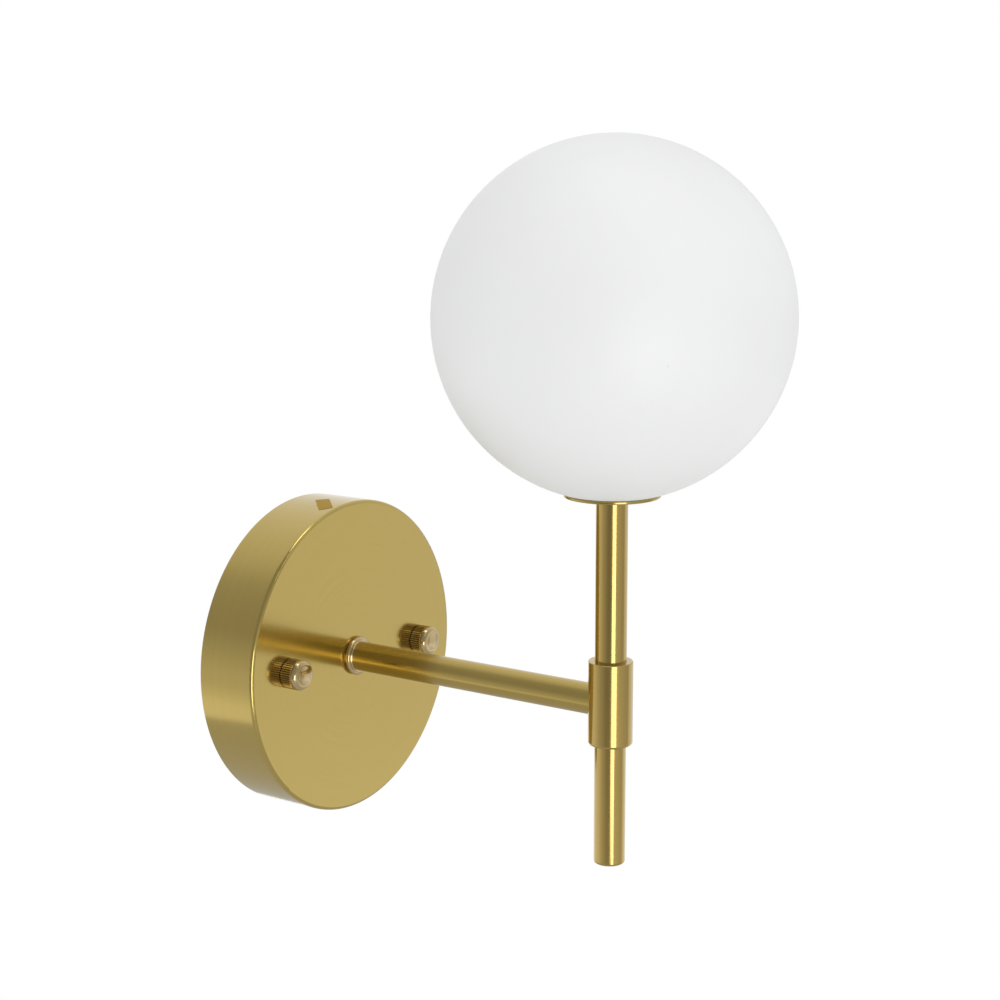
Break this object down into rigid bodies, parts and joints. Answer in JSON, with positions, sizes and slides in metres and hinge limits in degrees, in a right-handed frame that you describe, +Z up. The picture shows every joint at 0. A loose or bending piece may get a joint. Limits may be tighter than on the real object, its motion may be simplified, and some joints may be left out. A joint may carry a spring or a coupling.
{
  "type": "globe wall sconce",
  "caption": "Wall light with a round canopy, a level arm, a tee sleeve and an upright stem that carries an opal glass globe over a two-pin capsule lamp.",
  "frame": {"origin": "on the wall, at the middle of the canopy and between the wall box screws", "axes": "+Y into the wall, +X to the right seen from the front, +Z up along the stem"},
  "size_m": [0.15, 0.2427, 0.3101],
  "materials": {
    "satin_brass": "satin, fine brushed, lacquered",
    "polished_brass": "polished",
    "turned_brass": "turned, unfinished",
    "zinc_steel": "bright zinc plate",
    "green_steel": "green dyed zinc plate",
    "black_plastic": "moulded",
    "silicone": "matte, translucent white",
    "opal_glass": "white opal, satin etched outside",
    "aluminium": "turned",
    "ceramic": "unglazed steatite",
    "nickel_steel": "nickel plate",
    "white_plastic": "moulded",
    "frosted_cover": "frosted, translucent"
  },
  "bodies": {
    "fixture": {"mounting_plate": "zinc_steel", "stud_screws": "zinc_steel", "stud_lock_nuts": "zinc_steel", "ground_screw": "green_steel", "canopy": "satin_brass", "lead_bushing": "black_plastic", "canopy_nipple": "zinc_steel", "canopy_lock_washer": "zinc_steel", "canopy_hex_nut": "zinc_steel", "arm_collar": "polished_brass", "arm_tube": "satin_brass", "arm_wall_bush": "turned_brass", "arm_tee_bush": "turned_brass", "tee_nipple": "zinc_steel", "tee_sleeve": "satin_brass", "stem_tube": "satin_brass", "stem_end_cap": "satin_brass", "stem_top_bush": "turned_brass", "holder_nipple": "zinc_steel", "globe_plate": "satin_brass", "threaded_ring": "aluminium", "holder_base": "zinc_steel", "holder_body": "ceramic", "holder_contacts": "nickel_steel", "holder_screws": "zinc_steel"},
    "left_cap_nut": {"left_cap_nut": "polished_brass"},
    "right_cap_nut": {"right_cap_nut": "polished_brass"},
    "globe_seat": {"globe_gasket": "silicone"},
    "globe": {"globe": "opal_glass"},
    "lamp": {"lamp_base": "white_plastic", "lamp_envelope": "frosted_cover", "lamp_pins": "nickel_steel"}
  },
  "joints": [
    {"name": "left_cap_nut_off", "type": "slide", "parent": "fixture", "child": "left_cap_nut", "axis": [0, -1, 0], "range_m": [0, 0.01]},
    {"name": "right_cap_nut_off", "type": "slide", "parent": "fixture", "child": "right_cap_nut", "axis": [0, -1, 0], "range_m": [0, 0.01]},
    {"name": "globe_rise", "type": "slide", "parent": "fixture", "child": "globe_seat", "axis": [0, 0, 1], "range_m": [0, 0.006]},
    {"name": "globe_turn", "type": "hinge", "parent": "globe_seat", "child": "globe", "pos_m": [0, -0.1677, 0.0907], "axis": [0, 0, 1], "range_deg": [0, 720]},
    {"name": "lamp_pull", "type": "slide", "parent": "fixture", "child": "lamp", "axis": [0, 0, 1], "range_m": [0, 0.012]}
  ],
  "couplings": [
    {"joint": "globe_rise", "follows": "globe_turn", "m_per_rad": 0.00047746}
  ]
}
